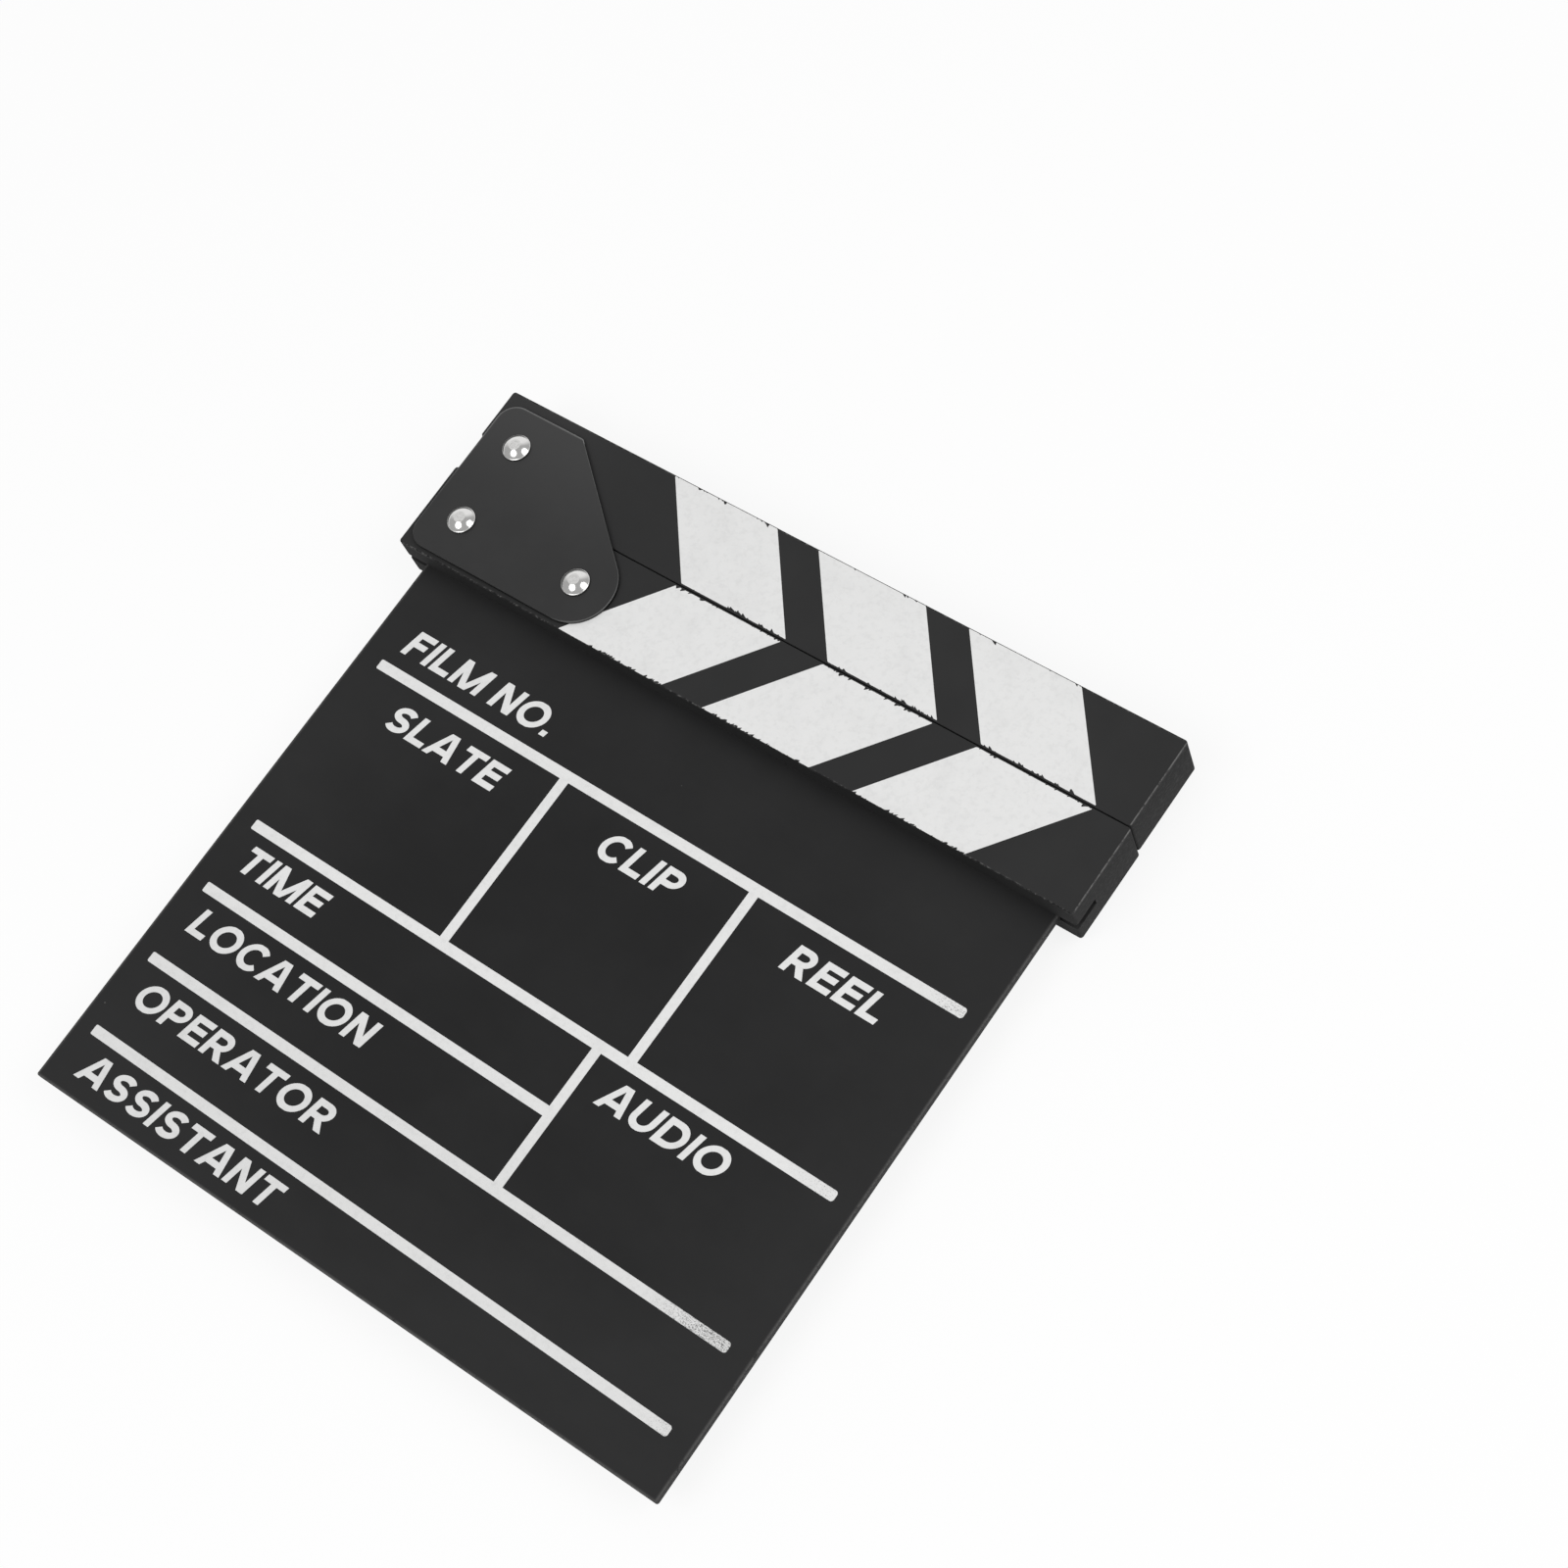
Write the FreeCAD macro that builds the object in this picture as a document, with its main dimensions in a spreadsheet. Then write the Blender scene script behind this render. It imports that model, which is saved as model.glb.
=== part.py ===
import FreeCAD, Part
import math
import os
import Sketcher

# A clapperboard lying on its back. X runs along the sticks from the hinge end to the free end,
# Y from the foot of the slate to the top stick, Z up out of the printed face.
# The origin is the middle of the whole board, on the surface that it lies on.

# Driving dimensions, in millimetres.
DIMENSIONS = {
    # The two sticks
    "stick_length": 200.0,
    "stick_width": 24.0,
    "stick_thickness": 14.0,
    "stick_corner_radius": 0.8,
    "stick_edge_radius": 0.25,
    "split_gap": 0.3,
    "free_end_setback": 0.6,
    "swing_side_clearance": 0.15,
    "swing_cut": 10.2,
    # The slate and the groove that holds it
    "slate_width": 188.6,
    "slate_visible_height": 155.0,
    "slate_thickness": 2.0,
    "slate_inset": 6.5,
    "slate_drop": 6.4,
    "slate_corner_radius": 0.6,
    "slate_edge_radius": 0.25,
    "groove_depth": 7.5,
    "groove_clearance": 0.1,
    # The two hinge plates
    "plate_thickness": 1.0,
    "plate_inset": 1.3,
    "plate_height": 43.9,
    "plate_top_width": 23.9,
    "plate_corner_radius": 5.2,
    "plate_nose_radius": 1.0,
    "plate_edge_radius": 0.3,
    # The rivets: a row of two through the lower stick, and the pivot above the first of them
    "rivet_setback": 11.6,
    "rivet_row_pitch": 36.6,
    "pivot_rise": 23.0,
    "rivet_shank_diameter": 3.2,
    "rivet_clearance": 0.05,
    "rivet_head_diameter": 7.3,
    "rivet_head_height": 1.8,
    "rivet_rim_height": 0.3,
    "rivet_flat_diameter": 3.0,
    "rivet_cap_wall": 0.4,
    "rivet_tip_diameter": 4.0,
    "rivet_tip_height": 0.5,
}

# What a sketch calls its own level axis, which starts at its origin, and its upright axis
LEVEL_INDEX, UPRIGHT_INDEX = -1, -2
# What a sketch calls the points of a line or an arc
START_INDEX, END_INDEX, CENTRE_INDEX = 1, 2, 3

ON_PLANE = 1.0e-6    # how near a face lies to a level to count as being on it
GROOVE_SLACK = 0.02  # the share of the groove that the eased edges may already have taken


class Size:
    """A length held both as an expression on the sheet and as a number."""

    def __init__(self, text, value):
        self.text = text
        self.value = value

    def joined(self, sign, other, value):
        return Size(f"({self.text} {sign} {as_size(other).text})", value)

    def __add__(self, other):
        return self.joined("+", other, self.value + as_size(other).value)

    def __sub__(self, other):
        return self.joined("-", other, self.value - as_size(other).value)

    def __mul__(self, other):
        return self.joined("*", other, self.value * as_size(other).value)

    def __truediv__(self, other):
        return self.joined("/", other, self.value / as_size(other).value)

    def __neg__(self):
        return Size(f"(0 - {self.text})", -self.value)

    def root(self):
        return Size(f"sqrt({self.text})", math.sqrt(self.value))


def as_size(number):
    return number if isinstance(number, Size) else Size(str(number), float(number))


NOTHING = as_size(0)

doc = FreeCAD.newDocument("Clapperboard")
sheet = doc.addObject("Spreadsheet::Sheet", "Sizes")
for row, (alias, number) in enumerate(DIMENSIONS.items(), start=1):
    sheet.set(f"A{row}", alias)
    sheet.set(f"B{row}", str(number))
    sheet.setAlias(f"B{row}", alias)
doc.recompute()


def dim(alias):
    return Size(f"Sizes.{alias}", float(getattr(sheet, alias)))


# Levels up through the stack, from the surface that the board lies on
rear_plate_outer = dim("rivet_head_height")
stick_back = rear_plate_outer + dim("plate_thickness")
stick_front = stick_back + dim("stick_thickness")
front_plate_outer = stick_front + dim("plate_thickness")
slate_front = stick_front - dim("slate_drop")
slate_back = slate_front - dim("slate_thickness")

# Places across the board
board_height = dim("slate_visible_height") + dim("stick_width") * 2 + dim("split_gap")
hinge_end = -dim("stick_length") / 2
slate_foot = -board_height / 2
lower_stick_foot = slate_foot + dim("slate_visible_height")
upper_stick_foot = lower_stick_foot + dim("stick_width") + dim("split_gap")
plate_foot = lower_stick_foot + dim("plate_inset")
plate_end = hinge_end + dim("plate_inset")

# Rivet places, measured from the hinge end and from the lower stick's foot
row_height = dim("stick_width") / 2
row_second = dim("rivet_setback") + dim("rivet_row_pitch")
pivot_height = row_height + dim("pivot_rise")
rivet_places = {
    "pivot": (dim("rivet_setback"), pivot_height),
    "near": (dim("rivet_setback"), row_height),
    "far": (row_second, row_height),
}
rivet_hole_radius = dim("rivet_shank_diameter") / 2 + dim("rivet_clearance")


def bind(thing, prop, size):
    thing.setExpression(prop, size.text)


def new_body(label, x, y, z):
    body = doc.addObject("PartDesign::Body", label)
    body.Label = label
    for axis, size in zip("xyz", (x, y, z)):
        bind(body, f"Placement.Base.{axis}", size)
    return body


def new_sketch(body, name, role):
    plane = next(item for item in body.Origin.OriginFeatures if item.Role == role)
    sketch = body.newObject("Sketcher::SketchObject", name)
    sketch.AttachmentSupport = (plane, [""])
    sketch.MapMode = "FlatFace"
    return sketch


def name_constraint(sketch, constraint, name, size):
    sketch.renameConstraint(sketch.addConstraint(constraint), name)
    bind(sketch, f"Constraints.{name}", size)


def place_point(sketch, geometry, point, name, x, y):
    """Ties one point of the sketch to its two sizes, or to an axis where a size is nothing."""
    for kind, axis, size in (("DistanceX", UPRIGHT_INDEX, x), ("DistanceY", LEVEL_INDEX, y)):
        if size is NOTHING:
            sketch.addConstraint(Sketcher.Constraint("PointOnObject", geometry, point, axis))
        else:
            constraint = Sketcher.Constraint(kind, LEVEL_INDEX, START_INDEX, geometry, point, size.value)
            name_constraint(sketch, constraint, f"{name}_{kind[-1].lower()}", size)


def add_line(sketch, start, end):
    return sketch.addGeometry(Part.LineSegment(start, end), False)


def add_arc(sketch, centre, start, end):
    """An arc that runs anticlockwise from start to end."""
    circle = Part.Circle(centre, FreeCAD.Vector(0, 0, 1), (start - centre).Length)
    first, last = (math.atan2(p.y - centre.y, p.x - centre.x) for p in (start, end))
    return sketch.addGeometry(Part.ArcOfCircle(circle, first, last), False)


def join_ends(sketch, before, after):
    sketch.addConstraint(Sketcher.Constraint("Coincident", before, END_INDEX, after, START_INDEX))


def join_smoothly(sketch, before, after):
    sketch.addConstraint(Sketcher.Constraint("Tangent", before, END_INDEX, after, START_INDEX))


def add_hole(sketch, name, x, y, radius):
    centre = FreeCAD.Vector(x.value, y.value, 0)
    circle = Part.Circle(centre, FreeCAD.Vector(0, 0, 1), radius.value)
    hole = sketch.addGeometry(circle, False)
    place_point(sketch, hole, CENTRE_INDEX, name, x, y)
    name_constraint(sketch, Sketcher.Constraint("Radius", hole, radius.value), f"{name}_r", radius)


def add_corner(sketch, name, x, y, before, after):
    """The sharp corner that two lines run to before it is rounded."""
    point = sketch.addGeometry(Part.Point(FreeCAD.Vector(x.value, y.value, 0)), True)
    place_point(sketch, point, START_INDEX, name, x, y)
    for side in (before, after):
        sketch.addConstraint(Sketcher.Constraint("PointOnObject", point, START_INDEX, side))


def round_corner(sketch, name, arc, before, after, radius):
    join_smoothly(sketch, before, arc)
    join_smoothly(sketch, arc, after)
    name_constraint(sketch, Sketcher.Constraint("Radius", arc, radius.value), f"{name}_r", radius)


def rounding(before, corner, after, radius):
    """Where a round of this radius meets the two sides of a corner, and its centre."""
    to_before = (before - corner).normalize()
    to_after = (after - corner).normalize()
    half_angle = to_before.getAngle(to_after) / 2
    reach = radius / math.tan(half_angle)
    middle = (to_before + to_after).normalize()
    centre = corner + middle * (radius / math.sin(half_angle))
    return corner + to_before * reach, corner + to_after * reach, centre


def rounded_polygon(sketch, corners, radius):
    """A closed outline through the corners, listed anticlockwise, each rounded alike."""
    points = [FreeCAD.Vector(x.value, y.value, 0) for x, y in corners]
    count = len(points)
    rounds = [
        rounding(points[i - 1], points[i], points[(i + 1) % count], radius.value) for i in range(count)
    ]
    sides = [add_line(sketch, rounds[i][1], rounds[(i + 1) % count][0]) for i in range(count)]
    for i, (x, y) in enumerate(corners):
        start, end, centre = rounds[i]
        arc = add_arc(sketch, centre, start, end)
        add_corner(sketch, f"corner{i}", x, y, sides[i - 1], sides[i])
        round_corner(sketch, f"corner{i}", arc, sides[i - 1], sides[i], radius)


def pad(body, sketch, name, length):
    feature = body.newObject("PartDesign::Pad", name)
    feature.Profile = sketch
    bind(feature, "Length", length)
    sketch.Visibility = False
    doc.recompute()
    return feature


def ease_edges(body, feature, name, levels, radius):
    """Rounds the outer edges of the flat faces that lie at these levels of the body."""
    names = []
    for face in feature.Shape.Faces:
        box = face.BoundBox
        if box.ZLength < ON_PLANE and any(abs(box.ZMin - level.value) < ON_PLANE for level in levels):
            for i, edge in enumerate(feature.Shape.Edges, start=1):
                if any(edge.isSame(outer) for outer in face.OuterWire.Edges):
                    names.append(f"Edge{i}")
    fillet = body.newObject("PartDesign::Fillet", name)
    fillet.Base = (feature, names)
    bind(fillet, "Radius", radius)
    doc.recompute()
    return fillet


def rectangle(width, height):
    return [(NOTHING, NOTHING), (width, NOTHING), (width, height), (NOTHING, height)]


def make_slate():
    body = new_body("slate_board", hinge_end + dim("slate_inset"), slate_foot, slate_back)
    outline = new_sketch(body, "SlateOutline", "XY_Plane")
    height = dim("slate_visible_height") + dim("groove_depth")
    rounded_polygon(outline, rectangle(dim("slate_width"), height), dim("slate_corner_radius"))
    sheet_of_board = pad(body, outline, "SlateSheet", dim("slate_thickness"))
    faces = (NOTHING, dim("slate_thickness"))
    ease_edges(body, sheet_of_board, "SlateEdges", faces, dim("slate_edge_radius"))
    return body


def cut_groove(body, blank):
    """The slot along the foot of the lower stick, which runs out at both ends."""
    section = new_sketch(body, "GrooveSection", "YZ_Plane")
    low = slate_back - stick_back - dim("groove_clearance")
    high = slate_front - stick_back + dim("groove_clearance")
    depth = dim("groove_depth")
    corners = [(NOTHING, low), (depth, low), (depth, high), (NOTHING, high)]
    points = [FreeCAD.Vector(x.value, y.value, 0) for x, y in corners]
    sides = [add_line(section, points[i], points[(i + 1) % len(points)]) for i in range(len(points))]
    for i, (x, y) in enumerate(corners):
        join_ends(section, sides[i - 1], sides[i])
        place_point(section, sides[i], START_INDEX, f"corner{i}", x, y)
    groove = body.newObject("PartDesign::Pocket", "Groove")
    groove.Profile = section
    groove.Type = "ThroughAll"
    groove.Reversed = True
    section.Visibility = False
    doc.recompute()
    expected = (depth * (high - low) * dim("stick_length")).value
    if abs(blank.Shape.Volume - groove.Shape.Volume - expected) > expected * GROOVE_SLACK:
        raise RuntimeError("the groove missed the lower stick")


def make_lower_stick():
    body = new_body("lower_stick", hinge_end, lower_stick_foot, stick_back)
    outline = new_sketch(body, "LowerStickOutline", "XY_Plane")
    corners = rectangle(dim("stick_length"), dim("stick_width"))
    rounded_polygon(outline, corners, dim("stick_corner_radius"))
    for name in ("near", "far"):
        add_hole(outline, name, *rivet_places[name], rivet_hole_radius)
    blank = pad(body, outline, "LowerStickBlank", dim("stick_thickness"))
    faces = (NOTHING, dim("stick_thickness"))
    eased = ease_edges(body, blank, "LowerStickEdges", faces, dim("stick_edge_radius"))
    cut_groove(body, eased)
    return body


def make_upper_stick():
    level = stick_back + dim("swing_side_clearance")
    body = new_body("upper_stick", hinge_end, upper_stick_foot, level)
    length = dim("stick_length") - dim("free_end_setback")
    thickness = dim("stick_thickness") - dim("swing_side_clearance") * 2
    corners = [
        (dim("swing_cut"), NOTHING),
        (length, NOTHING),
        (length, dim("stick_width")),
        (NOTHING, dim("stick_width")),
        (NOTHING, dim("swing_cut")),
    ]
    outline = new_sketch(body, "UpperStickOutline", "XY_Plane")
    rounded_polygon(outline, corners, dim("stick_corner_radius"))
    pivot_x, pivot_y = rivet_places["pivot"]
    pivot_from_foot = pivot_y - dim("stick_width") - dim("split_gap")
    add_hole(outline, "pivot", pivot_x, pivot_from_foot, rivet_hole_radius)
    blank = pad(body, outline, "UpperStickBlank", thickness)
    ease_edges(body, blank, "UpperStickEdges", (NOTHING, thickness), dim("stick_edge_radius"))
    return body


def draw_plate(sketch):
    """Square at the hinge end, with a long slant down to a round about the far rivet."""
    height = dim("plate_height")
    top_width = dim("plate_top_width")
    corner_radius = dim("plate_corner_radius")
    nose_radius = dim("plate_nose_radius")
    round_x = row_second - dim("plate_inset")
    round_radius = row_height - dim("plate_inset")
    foot, top = FreeCAD.Vector(0, 0, 0), FreeCAD.Vector(0, height.value, 0)
    nose = FreeCAD.Vector(top_width.value, height.value, 0)
    centre = FreeCAD.Vector(round_x.value, round_radius.value, 0)
    lowest = FreeCAD.Vector(round_x.value, 0, 0)
    # The slant runs from the nose and touches the far rivet's round on its outer side.
    to_nose = nose - centre
    lean = math.atan2(to_nose.y, to_nose.x) - math.acos(round_radius.value / to_nose.Length)
    touch = centre + FreeCAD.Vector(math.cos(lean), math.sin(lean), 0) * round_radius.value
    foot_round = rounding(top, foot, lowest, corner_radius.value)
    nose_round = rounding(touch, nose, top, nose_radius.value)
    top_round = rounding(nose, top, foot, corner_radius.value)

    base = add_line(sketch, foot_round[1], lowest)
    far_round = add_arc(sketch, centre, lowest, touch)
    slant = add_line(sketch, touch, nose_round[0])
    nose_arc = add_arc(sketch, nose_round[2], nose_round[0], nose_round[1])
    crown = add_line(sketch, nose_round[1], top_round[0])
    top_arc = add_arc(sketch, top_round[2], top_round[0], top_round[1])
    side = add_line(sketch, top_round[1], foot_round[0])
    foot_arc = add_arc(sketch, foot_round[2], foot_round[0], foot_round[1])

    sketch.addConstraint(Sketcher.Constraint("Horizontal", base))
    join_smoothly(sketch, base, far_round)
    join_smoothly(sketch, far_round, slant)
    place_point(sketch, far_round, CENTRE_INDEX, "far_round", round_x, round_radius)
    round_corner(sketch, "nose", nose_arc, slant, crown, nose_radius)
    round_corner(sketch, "top", top_arc, crown, side, corner_radius)
    round_corner(sketch, "foot", foot_arc, side, base, corner_radius)
    add_corner(sketch, "nose", top_width, height, slant, crown)
    add_corner(sketch, "top", NOTHING, height, crown, side)
    add_corner(sketch, "foot", NOTHING, NOTHING, side, base)
    for name, (x, y) in rivet_places.items():
        add_hole(sketch, name, x - dim("plate_inset"), y - dim("plate_inset"), rivet_hole_radius)


def make_hinge_plate(label, level, outer_face):
    body = new_body(label, plate_end, plate_foot, level)
    outline = new_sketch(body, f"{label}_outline", "XY_Plane")
    draw_plate(outline)
    blank = pad(body, outline, f"{label}_blank", dim("plate_thickness"))
    ease_edges(body, blank, f"{label}_edge", (outer_face,), dim("plate_edge_radius"))
    return body


def turn_about_upright(body, sketch, name):
    feature = body.newObject("PartDesign::Revolution", name)
    feature.Profile = sketch
    feature.ReferenceAxis = (sketch, ["V_Axis"])
    feature.Angle = 360
    sketch.Visibility = False
    doc.recompute()
    return feature


# A rivet's dome is part of a sphere, cut by its rim below and by the flat where it was struck.
rim_radius = dim("rivet_head_diameter") / 2
flat_radius = dim("rivet_flat_diameter") / 2
rim_height = dim("rivet_rim_height")
dome_height = dim("rivet_head_height")


def squared(size):
    return size * size


flat_minus_rim = squared(flat_radius) + squared(dome_height) - squared(rim_radius) - squared(rim_height)
dome_centre = flat_minus_rim / ((dome_height - rim_height) * 2)
dome_radius = (squared(rim_radius) + squared(rim_height - dome_centre)).root()


def inner_dome_reach(level):
    """How far from the axis the inside of a rivet's cap is, at a level above its foot."""
    return (squared(dome_radius - dim("rivet_cap_wall")) - squared(level - dome_centre)).root()


def half_profile(sketch, corners, bulges):
    """A closed half-section. A bulge makes the side after its corner an arc, centred on the axis."""
    points = [FreeCAD.Vector(x.value, y.value, 0) for _, x, y in corners]
    names = [name for name, _, _ in corners]
    count = len(points)
    sides = []
    for i in range(count):
        start, end = points[i], points[(i + 1) % count]
        if names[i] in bulges:
            centre_height, anticlockwise = bulges[names[i]]
            centre = FreeCAD.Vector(0, centre_height.value, 0)
            ends = (start, end) if anticlockwise else (end, start)
            sides.append((add_arc(sketch, centre, *ends), anticlockwise))
        else:
            sides.append((add_line(sketch, start, end), True))
    for i, (name, x, y) in enumerate(corners):
        last, last_forward = sides[i - 1]
        this, this_forward = sides[i]
        arrive = END_INDEX if last_forward else START_INDEX
        leave = START_INDEX if this_forward else END_INDEX
        sketch.addConstraint(Sketcher.Constraint("Coincident", last, arrive, this, leave))
        place_point(sketch, this, leave, name, x, y)
        if name in bulges:
            sketch.addConstraint(Sketcher.Constraint("PointOnObject", this, CENTRE_INDEX, UPRIGHT_INDEX))


def make_rivet_post(label, x, y):
    """The rivet's rear half: a domed head, a shank and a tip spread inside the cap."""
    body = new_body(label, hinge_end + x, lower_stick_foot + y, rear_plate_outer)
    shank = dim("rivet_shank_diameter") / 2
    tip = dim("rivet_tip_diameter") / 2
    tip_foot = front_plate_outer - rear_plate_outer + dim("rivet_cap_wall")
    tip_top = tip_foot + dim("rivet_tip_height")
    corners = [
        ("flat_middle", NOTHING, -dome_height),
        ("flat_edge", flat_radius, -dome_height),
        ("rim_low", rim_radius, -rim_height),
        ("rim_high", rim_radius, NOTHING),
        ("shank_foot", shank, NOTHING),
        ("shank_top", shank, tip_foot),
        ("tip_low", tip, tip_foot),
        ("tip_high", tip, tip_top),
        ("tip_middle", NOTHING, tip_top),
    ]
    section = new_sketch(body, f"{label}_section", "XZ_Plane")
    half_profile(section, corners, {"flat_edge": (-dome_centre, True)})
    turn_about_upright(body, section, f"{label}_turned")
    return body


def make_rivet_cap(label, x, y):
    """The rivet's front half: a hollow dome, struck flat, closed on the post's spread tip."""
    body = new_body(label, hinge_end + x, lower_stick_foot + y, front_plate_outer)
    wall = dim("rivet_cap_wall")
    throat = rivet_hole_radius
    roof = dome_height - wall
    corners = [
        ("foot_inner", throat, NOTHING),
        ("foot_outer", rim_radius, NOTHING),
        ("rim", rim_radius, rim_height),
        ("flat_edge", flat_radius, dome_height),
        ("flat_middle", NOTHING, dome_height),
        ("roof_middle", NOTHING, roof),
        ("roof_edge", inner_dome_reach(roof), roof),
        ("lip_outer", inner_dome_reach(wall), wall),
        ("lip_inner", throat, wall),
    ]
    section = new_sketch(body, f"{label}_section", "XZ_Plane")
    half_profile(section, corners, {"rim": (dome_centre, True), "roof_edge": (dome_centre, False)})
    turn_about_upright(body, section, f"{label}_turned")
    return body


subparts = [
    make_slate(),
    make_lower_stick(),
    make_upper_stick(),
    make_hinge_plate("front_hinge_plate", stick_front, dim("plate_thickness")),
    make_hinge_plate("rear_hinge_plate", rear_plate_outer, NOTHING),
]
for place, (rivet_x, rivet_y) in rivet_places.items():
    subparts.append(make_rivet_post(f"{place}_rivet_post", rivet_x, rivet_y))
    subparts.append(make_rivet_cap(f"{place}_rivet_cap", rivet_x, rivet_y))
doc.recompute()

for item in doc.Objects:
    if "Invalid" in item.State or "Error" in item.State:
        raise RuntimeError(f"{item.Label} did not build: {item.State}")
    if item.isDerivedFrom("Sketcher::SketchObject") and not item.FullyConstrained:
        raise RuntimeError(f"{item.Label} is not fully held by its sizes")
for body in subparts:
    if body.Shape.isNull() or not body.Shape.isValid() or len(body.Shape.Solids) != 1:
        raise RuntimeError(f"{body.Label} is not one sound solid")

os.makedirs("parts", exist_ok=True)
for body in subparts:
    body.Shape.exportStep(os.path.join("parts", f"{body.Label}.step"))
    box = body.Shape.optimalBoundingBox()
    print(f"{body.Label}: {box.XLength:.2f} x {box.YLength:.2f} x {box.ZLength:.2f} mm")
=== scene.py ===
import math
import random

import bmesh
import bpy
from mathutils import Matrix, Vector


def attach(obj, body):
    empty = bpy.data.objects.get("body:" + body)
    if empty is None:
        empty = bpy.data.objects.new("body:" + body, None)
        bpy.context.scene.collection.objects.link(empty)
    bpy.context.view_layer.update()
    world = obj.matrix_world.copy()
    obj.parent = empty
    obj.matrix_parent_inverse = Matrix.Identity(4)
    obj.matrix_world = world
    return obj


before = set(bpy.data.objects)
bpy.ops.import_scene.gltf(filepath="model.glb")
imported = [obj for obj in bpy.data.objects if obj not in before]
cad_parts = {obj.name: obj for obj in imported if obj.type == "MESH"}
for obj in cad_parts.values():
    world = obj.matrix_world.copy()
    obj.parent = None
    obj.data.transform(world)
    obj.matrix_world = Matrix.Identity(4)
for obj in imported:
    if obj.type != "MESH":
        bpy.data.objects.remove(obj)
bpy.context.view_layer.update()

mm = 0.001
tiny = 1e-7  # places nearer than this are one and the same
print("clapperboard frame loaded:", len(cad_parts), "nodes")


# small helpers for modelling by operators

def deselectAll():
    if bpy.context.mode != "OBJECT":
        bpy.ops.object.mode_set(mode="OBJECT")
    bpy.ops.object.select_all(action="DESELECT")


def pickOnly(obj):
    deselectAll()
    obj.select_set(True)
    bpy.context.view_layer.objects.active = obj


def editAll(obj):  # edit mode with everything selected
    pickOnly(obj)
    bpy.ops.object.mode_set(mode="EDIT")
    bpy.ops.mesh.select_all(action="SELECT")


def pickVerts(obj, wanted):  # edit mode, selects the vertices whose place fits
    bpy.ops.mesh.select_mode(type="VERT")
    bpy.ops.mesh.select_all(action="DESELECT")
    mesh = bmesh.from_edit_mesh(obj.data)
    for vert in mesh.verts:
        vert.select = bool(wanted(vert.co))
    mesh.select_flush(True)
    bmesh.update_edit_mesh(obj.data)


def pickEdges(obj, wanted):  # edit mode, selects the edges whose two ends fit
    bpy.ops.mesh.select_mode(type="EDGE")
    bpy.ops.mesh.select_all(action="DESELECT")
    mesh = bmesh.from_edit_mesh(obj.data)
    for edge in mesh.edges:
        edge.select = bool(wanted(edge.verts[0].co, edge.verts[1].co))
    bmesh.update_edit_mesh(obj.data)


def flatSheet(width, height):  # mm, a plane round the origin, left in edit mode
    deselectAll()
    bpy.ops.mesh.primitive_plane_add(size=1.0, location=(0, 0, 0))
    sheet = bpy.context.object
    editAll(sheet)
    bpy.ops.transform.resize(value=(width * mm, height * mm, 1.0))
    return sheet


def thicken(obj, thickness):  # a film of ink with its foot sunk in the board
    modifier = obj.modifiers.new("film", "SOLIDIFY")
    modifier.thickness = thickness
    modifier.offset = -1.0
    pickOnly(obj)
    bpy.ops.object.modifier_apply(modifier=modifier.name)


def joinPieces(pieces, name):
    deselectAll()
    for piece in pieces:
        piece.select_set(True)
    bpy.context.view_layer.objects.active = pieces[0]
    if len(pieces) > 1:
        bpy.ops.object.join()
    joined = bpy.context.view_layer.objects.active
    joined.name = name
    joined.data.name = name
    return joined


def settle(obj):  # place goes into the mesh, object back to the origin
    pickOnly(obj)
    bpy.ops.object.transform_apply(location=True, rotation=True, scale=True)


def boxOf(nodeName):  # lowest and highest corner of one of the board's own pieces, mm
    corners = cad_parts[nodeName].bound_box
    return [Vector(corners[i]) / mm for i in (0, 6)]


# shader maths

class Wire:
    def __init__(self, nodes, socket):
        self.nodes = nodes
        self.socket = socket

    def maths(self, operation, *values):
        return self.nodes.node("Math", {"operation": operation}, dict(enumerate(values)))

    def __add__(self, other):
        return self.maths("ADD", self, other)

    def __radd__(self, other):
        return self.maths("ADD", other, self)

    def __sub__(self, other):
        return self.maths("SUBTRACT", self, other)

    def __rsub__(self, other):
        return self.maths("SUBTRACT", other, self)

    def __mul__(self, other):
        return self.maths("MULTIPLY", self, other)

    def __rmul__(self, other):
        return self.maths("MULTIPLY", other, self)

    def __truediv__(self, other):
        return self.maths("DIVIDE", self, other)

    def __rtruediv__(self, other):
        return self.maths("DIVIDE", other, self)

    def __pow__(self, other):
        return self.maths("POWER", self, other)

    def __rpow__(self, other):
        return self.maths("POWER", other, self)

    def __abs__(self):
        return self.maths("ABSOLUTE", self)

    def least(self, other):
        return self.maths("MINIMUM", self, other)

    def most(self, other):
        return self.maths("MAXIMUM", self, other)


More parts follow.
